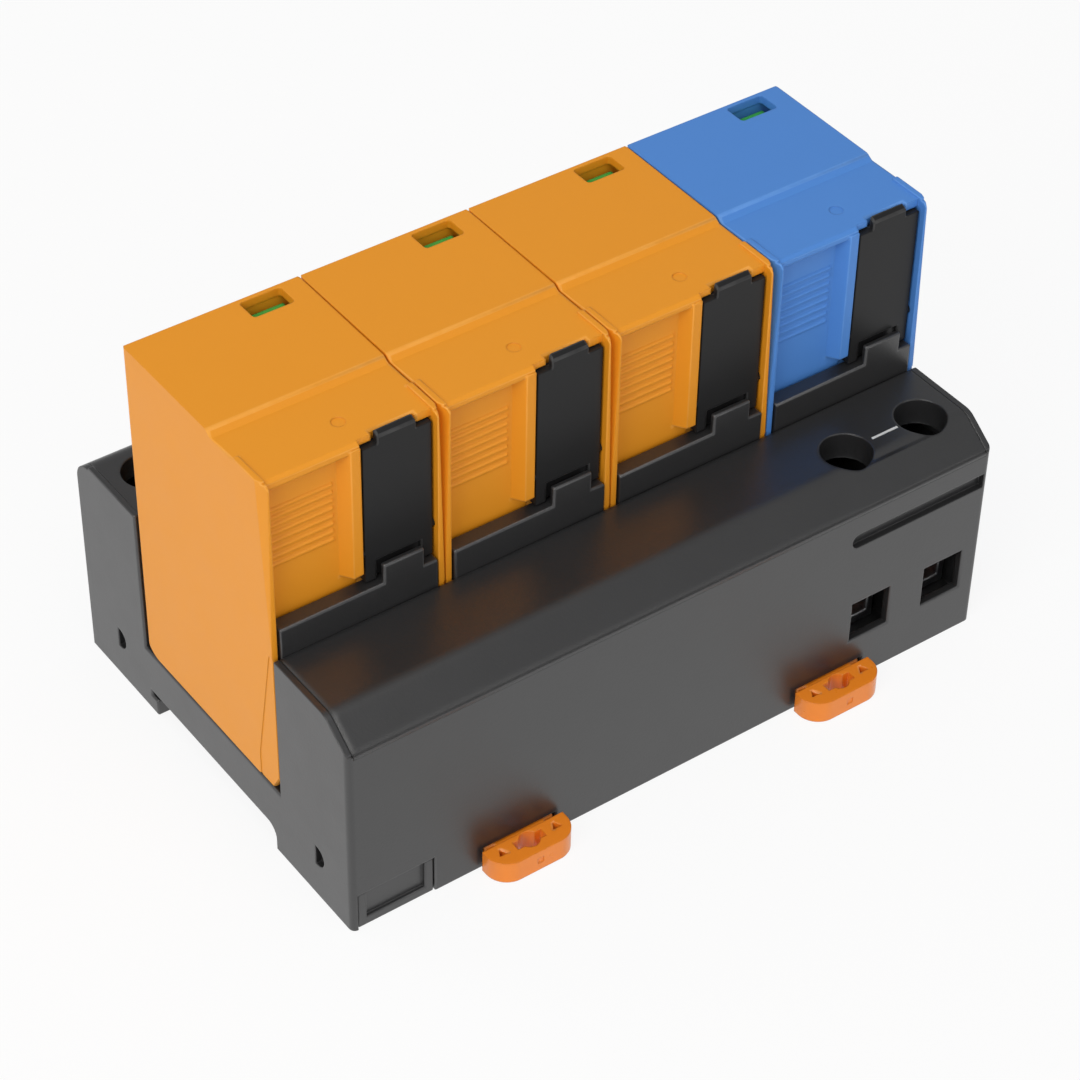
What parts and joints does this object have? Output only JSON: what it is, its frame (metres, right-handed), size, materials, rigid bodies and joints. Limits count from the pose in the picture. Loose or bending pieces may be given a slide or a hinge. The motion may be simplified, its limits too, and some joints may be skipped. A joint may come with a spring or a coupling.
{
  "type": "din rail surge arrester",
  "caption": "Rail-mounted surge arrester: black terminal base with clamp screws and sprung rail feet, carrying plug-in orange and blue protection modules with release levers.",
  "frame": {"origin": "on the underside, below the middle of the part's box with the rail feet included", "axes": "+X along the rail to the blue module's end, -Y out of the front face with the rail feet, +Z away from the rail"},
  "size_m": [0.1424, 0.0966, 0.0855],
  "materials": {
    "black_plastic": "fine moulded grain",
    "black_lever": "satin moulded",
    "orange_shell": "fine moulded grain",
    "orange_foot": "satin moulded",
    "blue_shell": "fine moulded grain",
    "red_plastic": "moulded",
    "green_plastic": "moulded",
    "varistor_coat": "dipped epoxy",
    "contact_copper": "rolled",
    "zinc_steel": "zinc plated",
    "gap_steel": "turned"
  },
  "bodies": {
    "base": {"base_housing": "black_plastic", "front_cover": "black_plastic", "rear_cover": "black_plastic", "signal_bay_blank": "black_plastic", "neutral_busbar": "contact_copper", "line_busbar_1": "contact_copper", "line_busbar_2": "contact_copper", "line_busbar_3": "contact_copper", "earth_busbar": "contact_copper"},
    "foot_left": {"rail_foot_left": "orange_foot"},
    "foot_right": {"rail_foot_right": "orange_foot"},
    "module_1": {"module_housing_1": "orange_shell", "module_base_1": "black_plastic", "contact_blades_1": "contact_copper", "varistor_1": "varistor_coat", "indicator_carrier_1": "red_plastic"},
    "flag_1": {"indicator_flag_1": "green_plastic"},
    "lever_1": {"release_lever_1": "black_lever"},
    "module_2": {"module_housing_2": "orange_shell", "module_base_2": "black_plastic", "contact_blades_2": "contact_copper", "varistor_2": "varistor_coat", "indicator_carrier_2": "red_plastic"},
    "flag_2": {"indicator_flag_2": "green_plastic"},
    "lever_2": {"release_lever_2": "black_lever"},
    "module_3": {"module_housing_3": "orange_shell", "module_base_3": "black_plastic", "contact_blades_3": "contact_copper", "varistor_3": "varistor_coat", "indicator_carrier_3": "red_plastic"},
    "flag_3": {"indicator_flag_3": "green_plastic"},
    "lever_3": {"release_lever_3": "black_lever"},
    "module_4": {"module_housing_4": "blue_shell", "module_base_4": "black_plastic", "contact_blades_4": "contact_copper", "spark_gap": "gap_steel", "indicator_carrier_4": "red_plastic"},
    "flag_4": {"indicator_flag_4": "green_plastic"},
    "lever_4": {"release_lever_4": "black_lever"},
    "screw_1": {"clamp_screw_1": "zinc_steel"},
    "cage_1": {"clamp_cage_1": "zinc_steel"},
    "screw_2": {"clamp_screw_2": "zinc_steel"},
    "cage_2": {"clamp_cage_2": "zinc_steel"},
    "screw_3": {"clamp_screw_3": "zinc_steel"},
    "cage_3": {"clamp_cage_3": "zinc_steel"},
    "screw_4": {"clamp_screw_4": "zinc_steel"},
    "cage_4": {"clamp_cage_4": "zinc_steel"},
    "screw_5": {"clamp_screw_5": "zinc_steel"},
    "cage_5": {"clamp_cage_5": "zinc_steel"},
    "screw_6": {"clamp_screw_6": "zinc_steel"},
    "cage_6": {"clamp_cage_6": "zinc_steel"},
    "screw_7": {"clamp_screw_7": "zinc_steel"},
    "cage_7": {"clamp_cage_7": "zinc_steel"},
    "screw_8": {"clamp_screw_8": "zinc_steel"},
    "cage_8": {"clamp_cage_8": "zinc_steel"},
    "screw_9": {"clamp_screw_9": "zinc_steel"},
    "cage_9": {"clamp_cage_9": "zinc_steel"},
    "screw_10": {"clamp_screw_10": "zinc_steel"},
    "cage_10": {"clamp_cage_10": "zinc_steel"}
  },
  "joints": [
    {"name": "foot_left_slide", "type": "slide", "parent": "base", "child": "foot_left", "axis": [0, -1, 0], "range_m": [0, 0.005], "stiffness_N_per_m": 1500},
    {"name": "foot_right_slide", "type": "slide", "parent": "base", "child": "foot_right", "axis": [0, -1, 0], "range_m": [0, 0.005], "stiffness_N_per_m": 1500},
    {"name": "module_1_pull", "type": "slide", "parent": "base", "child": "module_1", "axis": [0, 0, 1], "range_m": [0, 0.05]},
    {"name": "flag_1_slide", "type": "slide", "parent": "module_1", "child": "flag_1", "axis": [0, -1, 0], "range_m": [0, 0.006]},
    {"name": "lever_1_swing", "type": "hinge", "parent": "module_1", "child": "lever_1", "pos_m": [-0.0443, -0.0165, 0.06], "axis": [1, 0, 0], "range_deg": [0, 40]},
    {"name": "module_2_pull", "type": "slide", "parent": "base", "child": "module_2", "axis": [0, 0, 1], "range_m": [0, 0.05]},
    {"name": "flag_2_slide", "type": "slide", "parent": "module_2", "child": "flag_2", "axis": [0, -1, 0], "range_m": [0, 0.006]},
    {"name": "lever_2_swing", "type": "hinge", "parent": "module_2", "child": "lever_2", "pos_m": [-0.0087, -0.0165, 0.06], "axis": [1, 0, 0], "range_deg": [0, 40]},
    {"name": "module_3_pull", "type": "slide", "parent": "base", "child": "module_3", "axis": [0, 0, 1], "range_m": [0, 0.05]},
    {"name": "flag_3_slide", "type": "slide", "parent": "module_3", "child": "flag_3", "axis": [0, -1, 0], "range_m": [0, 0.006]},
    {"name": "lever_3_swing", "type": "hinge", "parent": "module_3", "child": "lever_3", "pos_m": [0.0269, -0.0165, 0.06], "axis": [1, 0, 0], "range_deg": [0, 40]},
    {"name": "module_4_pull", "type": "slide", "parent": "base", "child": "module_4", "axis": [0, 0, 1], "range_m": [0, 0.05]},
    {"name": "flag_4_slide", "type": "slide", "parent": "module_4", "child": "flag_4", "axis": [0, -1, 0], "range_m": [0, 0.006]},
    {"name": "lever_4_swing", "type": "hinge", "parent": "module_4", "child": "lever_4", "pos_m": [0.0625, -0.0165, 0.06], "axis": [1, 0, 0], "range_deg": [0, 40]},
    {"name": "cage_1_lift", "type": "slide", "parent": "base", "child": "cage_1", "axis": [0, 0, 1], "range_m": [0, 0.008]},
    {"name": "screw_1_turn", "type": "hinge", "parent": "base", "child": "screw_1", "pos_m": [-0.0623, 0.03755, 0.0385], "axis": [0, 0, -1], "range_deg": [0, 2882]},
    {"name": "cage_2_lift", "type": "slide", "parent": "base", "child": "cage_2", "axis": [0, 0, 1], "range_m": [0, 0.008]},
    {"name": "screw_2_turn", "type": "hinge", "parent": "base", "child": "screw_2", "pos_m": [-0.0445, 0.03755, 0.0385], "axis": [0, 0, -1], "range_deg": [0, 2882]},
    {"name": "cage_3_lift", "type": "slide", "parent": "base", "child": "cage_3", "axis": [0, 0, 1], "range_m": [0, 0.008]},
    {"name": "screw_3_turn", "type": "hinge", "parent": "base", "child": "screw_3", "pos_m": [-0.0267, 0.03755, 0.0385], "axis": [0, 0, -1], "range_deg": [0, 2882]},
    {"name": "cage_4_lift", "type": "slide", "parent": "base", "child": "cage_4", "axis": [0, 0, 1], "range_m": [0, 0.008]},
    {"name": "screw_4_turn", "type": "hinge", "parent": "base", "child": "screw_4", "pos_m": [-0.0089, 0.03755, 0.0385], "axis": [0, 0, -1], "range_deg": [0, 2882]},
    {"name": "cage_5_lift", "type": "slide", "parent": "base", "child": "cage_5", "axis": [0, 0, 1], "range_m": [0, 0.008]},
    {"name": "screw_5_turn", "type": "hinge", "parent": "base", "child": "screw_5", "pos_m": [0.0089, 0.03755, 0.0385], "axis": [0, 0, -1], "range_deg": [0, 2882]},
    {"name": "cage_6_lift", "type": "slide", "parent": "base", "child": "cage_6", "axis": [0, 0, 1], "range_m": [0, 0.008]},
    {"name": "screw_6_turn", "type": "hinge", "parent": "base", "child": "screw_6", "pos_m": [0.0267, 0.03755, 0.0385], "axis": [0, 0, -1], "range_deg": [0, 2882]},
    {"name": "cage_7_lift", "type": "slide", "parent": "base", "child": "cage_7", "axis": [0, 0, 1], "range_m": [0, 0.008]},
    {"name": "screw_7_turn", "type": "hinge", "parent": "base", "child": "screw_7", "pos_m": [0.0445, 0.03755, 0.0385], "axis": [0, 0, -1], "range_deg": [0, 2882]},
    {"name": "cage_8_lift", "type": "slide", "parent": "base", "child": "cage_8", "axis": [0, 0, 1], "range_m": [0, 0.008]},
    {"name": "screw_8_turn", "type": "hinge", "parent": "base", "child": "screw_8", "pos_m": [0.0623, 0.03755, 0.0385], "axis": [0, 0, -1], "range_deg": [0, 2882]},
    {"name": "cage_9_lift", "type": "slide", "parent": "base", "child": "cage_9", "axis": [0, 0, 1], "range_m": [0, 0.008]},
    {"name": "screw_9_turn", "type": "hinge", "parent": "base", "child": "screw_9", "pos_m": [0.0445, -0.03105, 0.0385], "axis": [0, 0, -1], "range_deg": [0, 2882]},
    {"name": "cage_10_lift", "type": "slide", "parent": "base", "child": "cage_10", "axis": [0, 0, 1], "range_m": [0, 0.008]},
    {"name": "screw_10_turn", "type": "hinge", "parent": "base", "child": "screw_10", "pos_m": [0.0623, -0.03105, 0.0385], "axis": [0, 0, -1], "range_deg": [0, 2882]}
  ],
  "couplings": [
    {"joint": "screw_1_turn", "follows": "cage_1_lift", "rad_per_m": 6283.2},
    {"joint": "screw_2_turn", "follows": "cage_2_lift", "rad_per_m": 6283.2},
    {"joint": "screw_3_turn", "follows": "cage_3_lift", "rad_per_m": 6283.2},
    {"joint": "screw_4_turn", "follows": "cage_4_lift", "rad_per_m": 6283.2},
    {"joint": "screw_5_turn", "follows": "cage_5_lift", "rad_per_m": 6283.2},
    {"joint": "screw_6_turn", "follows": "cage_6_lift", "rad_per_m": 6283.2},
    {"joint": "screw_7_turn", "follows": "cage_7_lift", "rad_per_m": 6283.2},
    {"joint": "screw_8_turn", "follows": "cage_8_lift", "rad_per_m": 6283.2},
    {"joint": "screw_9_turn", "follows": "cage_9_lift", "rad_per_m": 6283.2},
    {"joint": "screw_10_turn", "follows": "cage_10_lift", "rad_per_m": 6283.2}
  ]
}
